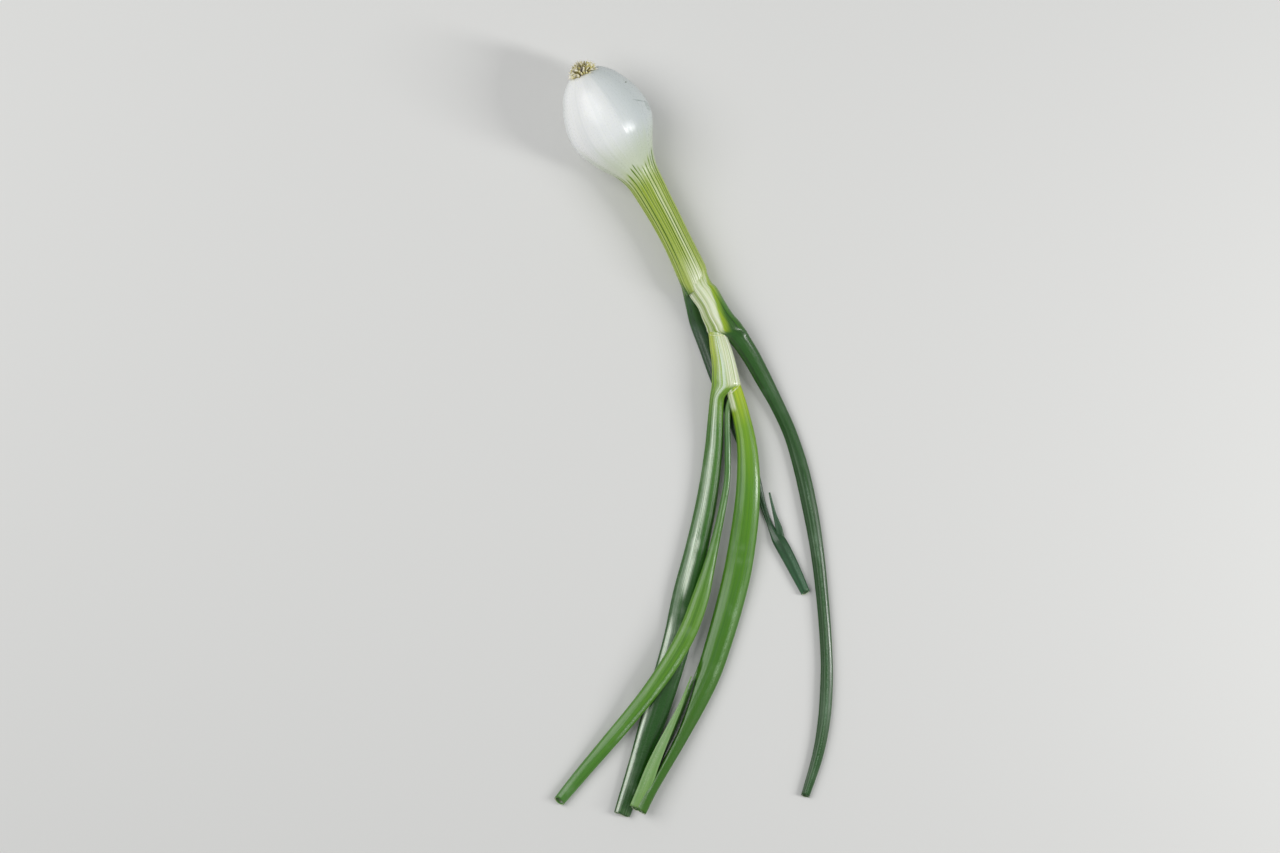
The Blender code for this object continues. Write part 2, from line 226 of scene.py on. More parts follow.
class Shade:
    """A shader socket that adds and multiplies like a number, by making Math nodes."""

    def __init__(self, tree, socket=None):
        self.tree = tree
        self.socket = socket

    def node(self, kind, settings=None, sockets=None, output=0):
        """Any node: its settings come first, then the values or links of its sockets."""
        made = self.tree.nodes.new(kind)
        for key, value in (settings or {}).items():
            if key == "stops":
                while len(made.color_ramp.elements) < len(value):
                    made.color_ramp.elements.new(1.0)
                for element, (position, colour) in zip(made.color_ramp.elements, value):
                    element.position = position
                    element.color = (*colour, 1.0)
            else:
                setattr(made, key, value)
        for key, value in (sockets or {}).items():
            if isinstance(value, Shade):
                self.tree.links.new(value.socket, made.inputs[key])
            else:
                made.inputs[key].default_value = value
        return Shade(self.tree, made.outputs[output])

    def math(self, operation, first, second):
        """One Math node on two numbers or sockets."""
        return self.node("ShaderNodeMath", {"operation": operation}, {0: first, 1: second})

    def __add__(self, other):
        return self.math("ADD", self, other)

    __radd__ = __add__

    def __mul__(self, other):
        return self.math("MULTIPLY", self, other)

    __rmul__ = __mul__

    def __sub__(self, other):
        return self.math("SUBTRACT", self, other)

    def __rsub__(self, other):
        return self.math("SUBTRACT", other, self)

    def rise(self, low, high):
        """0 below low, 1 above high, and a smooth rise between them."""
        return self.node("ShaderNodeMapRange", {"interpolation_type": "SMOOTHSTEP"},
                         {"Value": self, "From Min": low, "From Max": high})

    def mix(self, factor, first, second):
        """Blend of two colours."""
        first = first if isinstance(first, Shade) else (*first, 1.0)
        second = second if isinstance(second, Shade) else (*second, 1.0)
        return self.node("ShaderNodeMix", {"data_type": "RGBA"}, {0: factor, 6: first, 7: second}, 2)

    def noise(self, place, scale, detail=2.0, roughness=0.5):
        """Cloudy noise over a place vector."""
        return self.node("ShaderNodeTexNoise", None,
                         {"Vector": place, "Scale": scale, "Detail": detail, "Roughness": roughness})

    def stretch(self, place, scale):
        """A place vector stretched by a scale for each axis."""
        return self.node("ShaderNodeMapping", None, {"Vector": place, "Scale": scale})


def new_material(name):
    """Material with its shader, and what its pattern reads: place, groove and object place."""
    material = bpy.data.materials.new(name)
    material.use_nodes = True
    tools = Shade(material.node_tree)
    shader = material.node_tree.nodes["Principled BSDF"]
    place = tools.node("ShaderNodeAttribute", {"attribute_name": "place"}, output="Vector")
    groove = tools.node("ShaderNodeAttribute", {"attribute_name": "groove"}, output="Fac")
    where = tools.node("ShaderNodeTexCoord", output="Object")
    parts = [tools.node("ShaderNodeSeparateXYZ", None, {0: place}, output=axis) for axis in range(3)]
    return material, tools, shader, place, parts, groove, where


def feed(shader, name, value):
    """Feed one of the shader's sockets."""
    value.tree.links.new(value.socket, shader.inputs[name])


def feed_bump(tools, shader, height, strength, distance):
    """Feed the shader's normal with a bump of a height."""
    bump = tools.node("ShaderNodeBump", None,
                      {"Strength": strength, "Distance": distance, "Height": height})
    feed(shader, "Normal", bump)


def rib_tones(tools, fibres):
    """Yellow-green of the neck's ridges, and the darker green of the grooves between them."""
    ridge = tools.mix(fibres.rise(0.42, 0.66), (0.30, 0.41, 0.035), (0.56, 0.64, 0.25))
    valley = tools.mix(fibres.rise(0.3, 0.7), (0.07, 0.16, 0.003), (0.16, 0.29, 0.008))
    return ridge, valley


def blot(tools, where, centre, half_length, half_width, turn, wander):
    """Soft oval mark seen from above: 1 in its middle and 0 outside, in millimetres and radians."""
    x = tools.node("ShaderNodeSeparateXYZ", None, {0: where}, output=0) * METRE - centre[0]
    y = tools.node("ShaderNodeSeparateXYZ", None, {0: where}, output=1) * METRE - centre[1]
    ahead = (x * math.cos(turn) + y * math.sin(turn)) * (1.0 / half_length)
    aside = (y * math.cos(turn) - x * math.sin(turn)) * (1.0 / half_width)
    return 1.0 - (ahead * ahead + aside * aside + wander).rise(0.0, 1.0)


def pale_ribs(tools, fibres):
    """Whitish tone of the inner sheaths' ridges."""
    return tools.mix(fibres.rise(0.35, 0.65), (0.66, 0.73, 0.44), (0.82, 0.86, 0.70))


def bulb_skin():
    """Waxy white skin, greyed on its right side by painted shade, that turns into yellow-green ribs with
    darker grooves and a painted whitish sheen on the neck.
    """
    material, tools, shader, place, (across, over, along), groove, where = new_material("bulb_skin")
    broad = tools.noise(tools.stretch(place, (1.6, 1.6, 22.0)), 1.0, 1.0)
    fibres = tools.noise(tools.stretch(place, (26.0, 26.0, 14.0)), 1.0, 3.0)
    veins = tools.noise(tools.stretch(place, (9.0, 9.0, 9.0)), 1.0, 2.0)
    speck = tools.noise(where, 1300.0, 2.0, 0.7)
    right = 0.0 - across
    # Painted shade: the white skin turns grey towards the bulb's right side, and in streaks along that
    # side.
    white = tools.mix(right.rise(-0.3, 0.8) * 0.8, (0.89, 0.90, 0.885), (0.52, 0.58, 0.57))
    white = tools.mix(right.rise(0.2, 0.27) * broad.rise(0.3, 0.5) * 0.35, white, (0.58, 0.63, 0.63))
    white = tools.mix(broad.rise(0.45, 0.7) * 0.4, white, (0.64, 0.69, 0.68))
    white = tools.mix(veins.rise(0.55, 0.62) * 0.1, white, (0.50, 0.58, 0.56))
    upper = over.rise(0.0, 0.2)
    wander = (tools.noise(where, 450.0, 3.0, 0.6) - 0.45) * 4.0
    dent = blot(tools, where, (13.1, 7.8), 3.4, 1.2, -1.15, wander) * upper
    white = tools.mix(dent * 0.6, white, (0.32, 0.38, 0.36))
    scratch = blot(tools, where, (9.8, 9.4), 3.0, 0.32, -0.05, wander * 0.2) * upper
    white = tools.mix(scratch * 0.7, white, (0.30, 0.36, 0.34))
    fleck = blot(tools, where, (4.8, 16.5), 0.5, 0.4, 0.6, wander * 0.15) * upper
    white = tools.mix(fleck, white, (0.14, 0.17, 0.12))
    tinge = (along + veins * 0.008).rise(0.027, 0.042)
    white = tools.mix(tinge * 0.6, white, (0.50, 0.58, 0.34))
    edge = along + veins * 0.008 + groove * 0.006
    ridge, valley = rib_tones(tools, fibres)
    skin = tools.mix(edge.rise(0.041, 0.054), white, ridge)
    skin = tools.mix(groove.rise(0.15, 0.75) * edge.rise(0.038, 0.045), skin, valley)
    # Painted highlight: a whitish sheen on the neck's ridges, just right of its middle.
    painted_sheen = right.rise(0.05, 0.3) * (1.0 - right.rise(0.4, 0.7)) * edge.rise(0.045, 0.06)
    crest = 1.0 - groove.rise(0.2, 0.7)
    skin = tools.mix(painted_sheen * fibres.rise(0.35, 0.6) * crest * 0.6, skin, (0.76, 0.80, 0.62))
    middle = across.rise(-0.75, -0.3) * (1.0 - across.rise(0.1, 0.5))
    fading = (along + fibres * 0.006).rise(0.079, 0.094) * middle * crest
    skin = tools.mix(fading * 0.8, skin, pale_ribs(tools, fibres))
    parting = (across + along * 55.0 + veins * 0.4).rise(5.75, 6.15)
    feed(shader, "Base Color", tools.mix(parting, skin, (0.035, 0.13, 0.006)))
    feed(shader, "Roughness", speck * 0.16 + fibres * 0.1 + 0.16)
    shader.inputs["Subsurface Weight"].default_value = 0.12
    shader.inputs["Subsurface Radius"].default_value = (1.0, 1.0, 0.8)
    shader.inputs["Subsurface Scale"].default_value = 0.002
    feed_bump(tools, shader, fibres + speck * 0.25, 0.2, 0.00018)
    return material


def neck_relief(angle, distance):
    """Uneven ribs: their grooves start at different heights on the bulb's shoulder."""
    bent = angle + 0.07 * math.sin(3 * angle + 1.0) + 0.04 * math.sin(7 * angle + 2.0)
    bent += 0.015 * math.sin(13 * angle)
    count = bent * NECK_RIBS / (2 * math.pi)
    number = math.floor(count)
    across = count - number
    late = 5 * noise.noise(Vector((number * 3.7, 0.4, 0.0)))
    share = ease(distance, RIB_START + late, RIB_FULL + late)
    thin = ease(distance, RIB_START - 1 + late, RIB_START + 3 + late)
    depth = 0.8 + 0.7 * noise.noise(Vector((number * 1.9, distance * 0.05, 5.0)))
    depth *= 1 - RIB_FADE_SHARE * ease(distance, RIB_FADE, RIB_FADE + RIB_FADE_REACH)
    dark = math.exp(-((across - 0.5) / RIB_WIDTH) ** 2) * thin * depth
    here = Vector((math.cos(angle) * 2, math.sin(angle) * 2, distance * 0.1))
    swell = 0.10 * noise.noise(here) - 0.05
    lift = swell - RIB_DEPTH * dark * (0.35 * thin + 0.65 * share)
    bulb_share = ease(distance, 3, 8) * (1 - ease(distance, 22, 34))
    lift -= FACET_STEP * bulb_share * ease(angle, FACET_ANGLE - 0.05, FACET_ANGLE + 0.03) * (
        1 - ease(angle, FACET_ANGLE + 0.1, FACET_ANGLE + 0.6))
    return lift, dark


bulb_keys = running_length(BULB_SPINE, 3)
profile_keys, profile_radii = zip(*BULB_PROFILE)
spine_columns = list(zip(*BULB_SPINE))
spine_fit = bulb_keys[-1] / profile_keys[-1]


def spine_frame(distance, radius):
    """Frame across the bulb's spine at a distance from the root plate."""
    here = distance * spine_fit
    low = max(here - 0.5, 0.0)
    high = min(here + 0.5, bulb_keys[-1])
    before = Vector([read_curve(bulb_keys, column, low) for column in spine_columns])
    after = Vector([read_curve(bulb_keys, column, high) for column in spine_columns])
    centre = Vector([read_curve(bulb_keys, column, here) for column in spine_columns])
    return section_frame(centre, (after - before).normalized(), radius, radius)


bulb_mesh = new_mesh()
neck_end = profile_keys[-1]
bulb_count = round(neck_end / BULB_STEP)
bulb_places = [neck_end * index / bulb_count for index in range(bulb_count + 1)]
bulb_frames = [spine_frame(0.0, radius) for radius in ROOT_END_RADII]
for place in bulb_places:
    dive = NECK_DIVE * ease(place, neck_end - DIVE_REACH, neck_end)
    bulb_frames.append(spine_frame(place, read_curve(profile_keys, profile_radii, place) - dive))
inner_places = [neck_end - depth for depth in NECK_HOLLOW]
inner_radius = profile_radii[-1] - NECK_DIVE - NECK_WALL
bulb_frames += [spine_frame(place, inner_radius) for place in inner_places]
bulb_rings, root_edges, mouth_edges = grow_tube(bulb_mesh, bulb_frames, BULB_SIDES)
bulb_distances = [0.0] * len(ROOT_END_RADII) + bulb_places + inner_places
for ring, matrix, distance in zip(bulb_rings, bulb_frames, bulb_distances):
    mark_ring(bulb_mesh, ring, matrix, distance, neck_relief)
    lean = NECK_LEAN * ease(distance, neck_end - LEAN_REACH, neck_end)
    sideways = matrix.col[0].to_3d().normalized()
    for vertex in ring:
        offset = (vertex.co - matrix.translation).dot(sideways) / profile_radii[-1]
        vertex.co += matrix.col[2].to_3d() * lean * (offset - LEAN_CENTRE)
close_ring(bulb_mesh, root_edges)
close_ring(bulb_mesh, mouth_edges)
everything = bulb_mesh.verts[:] + bulb_mesh.edges[:] + bulb_mesh.faces[:]
bmesh.ops.bisect_plane(bulb_mesh, geom=everything, plane_co=(0, 0, 0), plane_no=(0, 0, -1),
                       clear_outer=True)
close_ring(bulb_mesh, [edge for edge in bulb_mesh.edges if edge.is_boundary])
finish_piece(bulb_mesh, "bulb_and_neck", bulb_skin(), "bulb_skin", "bulb")

# Root tuft.
# What is left of the roots: a low plate on the bulb's end with short dry stubs, clipped with a
# knife, standing out of it all round. They grew out of the plate, so they are sunk into it.
PLATE_RADIUS = 4.3
PLATE_HEIGHT = 1.8
PLATE_SHARES = (-0.6, 0.0, 0.3, 0.55, 0.75, 0.9, 1.0)
PLATE_SIDES = 40
PLATE_TONE = 0.4
DOME_RADIUS = 3.7
DOME_HEIGHT = 0.6
TUFT_TILT = 0.9
TUFT_BACK = 1.2
TUFT_LIFT = 2.6
STUB_SEED = 11
STUB_COUNT = 210
STUB_SIDES = 7
STUB_STEPS = 5
STUB_RADIUS = 0.55
STUB_SPREAD = 1.85
STUB_SUNK = 0.7
STUB_CLEAR = 0.15
BURNT_SHARE = 0.03


def root_skin():
    """Dry cream stubs, whiter at the cut tips, olive and brown down between them."""
    material, tools, shader, place, (across, over, along), groove, where = new_material("root_stubs")
    patch = tools.noise(where, 700.0, 2.0)
    fibre = tools.noise(tools.stretch(place, (3.0, 3.0, 900.0)), 1.0, 2.0)
    low = tools.mix(patch.rise(0.4, 0.6), (0.16, 0.09, 0.02), (0.42, 0.36, 0.07))
    high = tools.mix(patch.rise(0.42, 0.6), (0.66, 0.60, 0.22), (0.84, 0.80, 0.60))
    colour = tools.mix(along.rise(0.0005, 0.0019), low, high)
    colour = tools.mix(along.rise(0.0021, 0.0030) * 0.9, colour, (0.92, 0.89, 0.80))
    colour = tools.mix(groove * 0.85, colour, (0.05, 0.02, 0.01))
    feed(shader, "Base Color", colour)
    feed(shader, "Roughness", fibre * 0.2 + 0.55)
    feed_bump(tools, shader, fibre, 0.6, 0.0002)
    return material


root_mesh = new_mesh()
root_draw = random.Random(STUB_SEED)
root_frame = spine_frame(0.0, 1.0)
root_centre = root_frame.translation
root_out = -root_frame.col[2].to_3d().normalized()
plate_frames = []
for share in PLATE_SHARES:
    radius = PLATE_RADIUS * math.sqrt(max(1.0 - share ** 2, 0.0004))
    plate_centre = root_centre + root_out * PLATE_HEIGHT * share
    plate_frames.append(section_frame(plate_centre, root_out, radius, radius))
plate_rings, plate_first, plate_last = grow_tube(root_mesh, plate_frames, PLATE_SIDES)
for ring, matrix in zip(plate_rings, plate_frames):
    mark_ring(root_mesh, ring, matrix, PLATE_TONE)
close_ring(root_mesh, plate_first)
close_ring(root_mesh, plate_last)
tuft_aim = (root_out * math.cos(TUFT_TILT) + Vector((0, 0, 1)) * math.sin(TUFT_TILT)).normalized()
tuft_side = tuft_aim.cross(Vector((0, 0, 1))).normalized()
tuft_over = tuft_side.cross(tuft_aim)
tuft_centre = root_centre - root_out * TUFT_BACK + Vector((0, 0, TUFT_LIFT))
golden = math.pi * (3 - math.sqrt(5))
for index in range(STUB_COUNT):
    share = (index + 0.5) / STUB_COUNT
    lean = STUB_SPREAD * share ** 0.6 + root_draw.uniform(-0.1, 0.1)
    turn = index * golden + root_draw.uniform(-0.3, 0.3)
    around = tuft_side * math.cos(turn) + tuft_over * math.sin(turn)
    rising = tuft_aim * math.cos(lean) + around * math.sin(lean)
    point = tuft_centre + tuft_aim * math.cos(lean) * DOME_RADIUS * DOME_HEIGHT
    point = point + around * math.sin(lean) * DOME_RADIUS
    length = root_draw.uniform(0.9, 2.1) + 0.5 * share
    droop = root_draw.uniform(-0.9, 0.9)
    sway = root_draw.uniform(-0.7, 0.7)
    width = STUB_RADIUS * root_draw.uniform(0.5, 1.15)
    burnt = 1.0 if share < BURNT_SHARE else max(0.0, root_draw.uniform(-2.2, 0.7))
    point = point - rising * STUB_SUNK
    frames = []
    distances = []
    for step in range(STUB_STEPS + 1):
        bend = lean + droop * step / STUB_STEPS
        swing = turn + sway * step / STUB_STEPS
        across = tuft_side * math.cos(swing) + tuft_over * math.sin(swing)
        aim = tuft_aim * math.cos(bend) + across * math.sin(bend)
        size = width * (1.0 - 0.35 * step / STUB_STEPS)
        frames.append(section_frame(point, aim, size, size * 0.85))
        distances.append((length + STUB_SUNK) * step / STUB_STEPS)
        point = point + aim * (length + STUB_SUNK) / STUB_STEPS
    tip = frames[-1].copy()
    tip.translation = point
    frames.append(tip @ Matrix.Diagonal((0.55, 0.5, 1.0, 1.0)))
    distances.append(length + STUB_SUNK)
    middle = frames[3].translation
    spot, normal, _, _ = skins[0].find_nearest(middle)
    if (middle - spot).dot(normal) < STUB_CLEAR:
        continue
    stub_rings, stub_first, stub_last = grow_tube(root_mesh, frames, STUB_SIDES)
    for ring, matrix, distance in zip(stub_rings, frames, distances):
        mark_ring(root_mesh, ring, matrix, distance, None, burnt)
    close_ring(root_mesh, stub_first)
    close_ring(root_mesh, stub_last)
finish_piece(root_mesh, "root_stubs", root_skin(), "root_cream", "root_tuft")

# Back leaf.
# The outermost and oldest leaf: a hollow tube pressed nearly flat, which runs under the others.
# It parts from the neck's left side. Near its end it is torn down to a narrow strip, with a
# loose sliver standing beside it.
BACK_SHEATH = (
    (25.4, -58.6, 31.0, -56.6, 2.4, 7.0),
    (26.3, -61.7, 31.4, -60.4, 1.9, 6.6),
    (27.0, -64.8, 32.0, -64.3, 1.4, 5.2),
    (27.8, -68.3, 32.9, -67.4, 0.9, 4.0),
)
BACK_BLADE = (
    (32.1, -74.3, 0.5, 5.6, 2.8, 0.0),
    (35.6, -83.2, 0.0, 5.8, 2.9, 0.0),
    (40.2, -95.9, 0.0, 5.8, 2.9, 0.0),
    (46.0, -110.1, 0.0, 5.6, 2.8, 0.0),
    (51.4, -123.6, 0.0, 5.2, 2.6, 0.0),
    (55.4, -136.0, 0.0, 3.6, 1.9, 0.0),
    (58.0, -145.4, 0.0, 2.4, 1.2, 0.0),
    (60.4, -152.2, 0.0, 2.3, 1.1, 0.0),
    (62.0, -155.6, 0.0, 3.4, 1.9, 0.0),
    (63.9, -158.4, 0.0, 5.2, 2.7, 0.0),
    (68.7, -167.3, 0.0, 5.1, 2.7, 0.0),
    (74.6, -179.6, 0.0, 3.7, 2.4, 0.0),
)
BACK_SLIVER = (
    (65.6, -161.6, 1.1, 2.6, 0.9, 0.0),
    (64.1, -154.6, 1.3, 2.7, 0.8, 0.0),
    (62.3, -148.6, 1.6, 1.5, 0.7, 0.0),
    (60.2, -140.0, 2.2, 0.7, 0.6, 0.0),
)
LEAF_SIDES = 56
LEAF_STEP = 1.0
LEAF_WALL = 0.45
CUT_REACH = 6.0
RIM_MARK = -1.0
INSIDE_MARK = 1.6


def edge_rows(stations):
    """Left edge, right edge, height of the underside and thickness, from centres and widths."""
    rows = []
    for index, (x, y, lift, width, thickness, _) in enumerate(stations):
        before = stations[max(index - 1, 0)]
        after = stations[min(index + 1, len(stations) - 1)]
        ahead = Vector((after[0] - before[0], after[1] - before[1])).normalized()
        left = (x + ahead.y * width / 2, y - ahead.x * width / 2)
        right = (x - ahead.y * width / 2, y + ahead.x * width / 2)
        rows.append((*left, *right, lift, thickness))
    return tuple(rows)


def edge_path(rows, step=LEAF_STEP):
    """Section frames and their distances, from rows of edges, underside and thickness."""
    middles = [((row[0] + row[2]) / 2, (row[1] + row[3]) / 2) for row in rows]
    keys = running_length(middles, 2)
    count = max(4, round(keys[-1] / step))
    distances = [keys[-1] * index / count for index in range(count + 1)]
    frames = []
    for place in distances:
        left_x, left_y, right_x, right_y, lift, thickness = (
            read_curve(keys, column, place) for column in zip(*rows))
        across = Vector((left_x - right_x, left_y - right_y, 0.0)) / 2
        upward = Vector((0.0, 0.0, thickness / 2))
        centre = Vector(((left_x + right_x) / 2, (left_y + right_y) / 2, lift + thickness / 2))
        frames.append(frame_of(across, upward, upward.cross(across).normalized(), centre))
    return frames, distances


def leaf_path(stations, step=LEAF_STEP):
    """Section frames and their distances, on a smooth curve through stations with a roll."""
    keys = running_length(stations, 2)
    count = max(4, round(keys[-1] / step))
    distances = [keys[-1] * index / count for index in range(count + 1)]
    rows = [[read_curve(keys, column, place) for column in zip(*stations)] for place in distances]
    centres = []
    for x, y, lift, width, thickness, roll in rows:
        tilt = math.radians(roll)
        half = math.hypot(width / 2 * math.sin(tilt), thickness / 2 * math.cos(tilt))
        centres.append(Vector((x, y, lift + half)))
    frames = []
    for index, row in enumerate(rows):
        ahead = centres[min(index + 1, count)] - centres[max(index - 1, 0)]
        ahead.normalize()
        frames.append(section_frame(centres[index], ahead, row[3] / 2, row[4] / 2, math.radians(row[5])))
    return frames, distances


def leaf_relief(veins, depth, seed, crease=None, ribbed=0.0):
    """Relief of a leaf: lengthwise veins, slow swells, a crease marked darker as painted shade, and the
    neck's ribs at its start.
    """
    def relief(angle, distance):
        bent = angle + 0.12 * math.sin(2 * angle + seed)
        vein = 0.5 - 0.5 * math.cos(bent * veins)
        here = Vector((math.cos(angle) * 1.5 + seed, math.sin(angle) * 1.5, distance * 0.05))
        patch = Vector((math.cos(angle) * 3, math.sin(angle) * 3 + seed, distance * 0.03))
        dark = (1 - vein) * max(0.6 + 0.8 * noise.noise(patch), 0.0)
        lift = -depth * dark - 0.10 * (0.5 + noise.noise(here))
        if ribbed:
            share = 1 - ease(distance, ribbed * 0.3, ribbed)
            rib_lift, rib_dark = neck_relief(angle, neck_end)
            lift = lift * (1 - share) + rib_lift * (0.15 + 0.85 * share)
            dark = dark * (1 - share) + rib_dark * (0.25 + 0.75 * share)
        if crease:
            at, wide, deep = crease
            gap = math.atan2(math.sin(angle - at), math.cos(angle - at))
            fold = math.exp(-(gap / wide) ** 2)
            lift -= deep * fold
            # Painted shade: the crease is also marked darker.
            dark += 0.6 * fold
        return lift, min(dark, 1.0)
    return relief


def add_leaf(mesh, path, relief, hollow, sides=LEAF_SIDES, cut=1.2, ragged=0.2, start=0.0):
    """Grow one leaf tube; a hollow length leaves its slanted cut end open that far in."""
    frames, distances = path
    count = len(frames)
    step = distances[1] - distances[0]
    if hollow:
        rim = frames[-1]
        wide = rim.col[0].to_3d().length
        tall = rim.col[1].to_3d().length
        shrink = Matrix.Diagonal((1 - LEAF_WALL / wide, 1 - LEAF_WALL / tall, 1.0, 1.0))
        inside = [frames[-1] @ shrink]
        for index in range(count - 2, count - 2 - round(hollow / step), -1):
            inside.append(frames[index] @ shrink)
        distances = distances + distances[:count - 1 - len(inside):-1]
        frames = frames + inside
    rings, first, last = grow_tube(mesh, frames, sides)
    for index, (ring, matrix, distance) in enumerate(zip(rings, frames, distances)):
        if index < count:
            mark_ring(mesh, ring, matrix, distance + start, relief)
        else:
            mark = RIM_MARK if index == count else INSIDE_MARK
            mark_ring(mesh, ring, matrix, distance + start, None, mark)
    if hollow:
        place = mesh.verts.layers.float_vector["place"]
        ahead = frames[count - 1].col[2].to_3d()
        end = distances[count - 1]
        for ring, distance in zip(rings, distances):
            share = ease(distance, end - CUT_REACH, end)
            if share > 0:
                for vertex in ring:
                    nick = noise.noise(vertex.co * 0.9) + 0.4 * noise.noise(vertex.co * 2.7)
                    slant = cut * (1 + vertex[place].y) / 2
                    vertex.co -= ahead * share * (slant + ragged * (1 + nick))
    close_ring(mesh, first)
    close_ring(mesh, last)


def leaf_skin(name, stops, length, vein, bloom_and_highlight_tone, shine, highlight_bands=(), pale=None, streaks=0.7, grit=0.7):
    """Waxy leaf skin: tones along its length, veins, pale bloom in patches, painted highlights in bands
    on the upper side, painted shade in slits and hollow ends, and speckled shine.
    """
    material, tools, shader, place, (across, over, along), groove, where = new_material(name)
    streak = tools.noise(tools.stretch(place, (9.0, 9.0, 16.0)), 1.0, 3.0, 0.6)
    fine = tools.noise(tools.stretch(place, (24.0, 24.0, 30.0)), 1.0, 2.0)
    patch = tools.noise(where, 80.0, 3.0)
    speck = tools.noise(where, 3000.0, 2.0, 0.75)
    tone = tools.node("ShaderNodeValToRGB", {"stops": stops}, {"Fac": along * (METRE / length)})
    colour = tools.mix(streak.rise(0.42, 0.7) * streaks, tone, vein)
    colour = tools.mix(groove.rise(0.2, 1.0) * 0.4, colour, vein)
    if pale:
        lean, drift, offset, end, whole = pale
        ridge, valley = rib_tones(tools, fine)
        light = pale_ribs(tools, fine)
        light = tools.mix((along + fine * 0.006).rise(0.002, whole), ridge, light) if whole else light
        lines = streak.rise(0.5, 0.6) * 0.55 + groove.rise(0.2, 0.8) * 0.6
        stripes = tools.mix(lines, light, tools.mix(0.5, valley, (0.34, 0.46, 0.08)))
        fresh = tools.mix(streak.rise(0.35, 0.6), (0.38, 0.49, 0.02), (0.17, 0.33, 0.008))
        reach = across * lean + along * drift + fine * 0.12 + offset
        within = 1.0 - (along + fine * 0.002).rise(end - 0.002, end + 0.001)
        colour = tools.mix(reach.rise(-0.5, -0.08) * within, colour, fresh)
        colour = tools.mix(reach.rise(-0.1, 0.1) * within, colour, stripes)
    # Pale waxy bloom in patches all over, and then painted highlights in bands along the upper side of
    # the leaf, speckled by the grain.
    bloom_and_painted_highlight = patch.rise(0.5, 0.75) * streak.rise(0.3, 0.6) * 0.35
    for centre, half, strength, low, high in highlight_bands:
        line = across.rise(centre - half, centre) * (1.0 - across.rise(centre, centre + half))
        reach = along.rise(low, low + 0.012) * (1.0 - along.rise(high - 0.012, high))
        grain = speck.rise(0.44, 0.6) * grit + fine.rise(0.3, 0.6) * (1.0 - grit)
        bloom_and_painted_highlight = bloom_and_painted_highlight + line * reach * over.rise(0.0, 0.4) * grain * strength
    colour = tools.mix(bloom_and_painted_highlight.rise(0.0, 1.0), colour, bloom_and_highlight_tone)
    # Painted shadow: near black where the mark runs past one, in the broad leaf's slit and at the start
    # of the hollow ends.
    colour = tools.mix(groove.rise(0.95, 1.15), colour, (0.008, 0.035, 0.002))
    # Painted shade in the hollow cut ends: the inner wall is dark green, darker on the underside of the
    # upper wall.
    inside = tools.mix(over.rise(-0.5, 0.5), (0.07, 0.14, 0.03), (0.02, 0.05, 0.01))
    colour = tools.mix(groove.rise(1.3, 1.5), colour, inside)
    rim = (0.0 - groove).rise(0.25, 0.7) * fine.rise(0.2, 0.5)
    colour = tools.mix(rim, colour, (0.66, 0.76, 0.48))
    feed(shader, "Base Color", colour)
    feed(shader, "Roughness", speck * 0.3 + patch * 0.12 + (shine - 0.2))
    shader.inputs["Coat Weight"].default_value = 0.35
    shader.inputs["Coat Roughness"].default_value = 0.14
    shader.inputs["Subsurface Weight"].default_value = 0.05
    shader.inputs["Subsurface Scale"].default_value = 0.001
    feed_bump(tools, shader, speck * 0.6 + streak * 0.8, 0.4, 0.00022)
    return material


back_stops = (
    (0.0, (0.26, 0.40, 0.04)),
    (0.02, (0.16, 0.30, 0.02)),
    (0.055, (0.03, 0.12, 0.01)),
    (0.16, (0.014, 0.065, 0.012)),
    (0.8, (0.014, 0.075, 0.02)),
    (1.0, (0.03, 0.13, 0.05)),
)
# Bands of painted highlight: place across, half width, strength, and where each starts and ends along
# the leaf.
back_highlight_bands = (
    (-0.35, 0.3, 0.7, 0.105, 0.14),
    (0.5, 0.3, 0.25, 0.01, 0.04),
)
back_green = leaf_skin("back_leaf_skin", back_stops, length=135.0, vein=(0.006, 0.03, 0.006),
                       bloom_and_highlight_tone=(0.16, 0.28, 0.19), shine=0.32, highlight_bands=back_highlight_bands)
back_mesh = new_mesh()
back_relief = leaf_relief(14, 0.06, 1.0, crease=(math.pi * 0.38, 0.25, 0.16))
sliver_relief = leaf_relief(5, 0.02, 2.0)
add_leaf(back_mesh, edge_path(BACK_SHEATH + edge_rows(BACK_BLADE)), back_relief, hollow=9.0)
add_leaf(back_mesh, leaf_path(BACK_SLIVER), sliver_relief, hollow=0.0, sides=20, start=100.0)
finish_piece(back_mesh, "back_leaf_tube", back_green, "leaf_dark", "back_leaf")

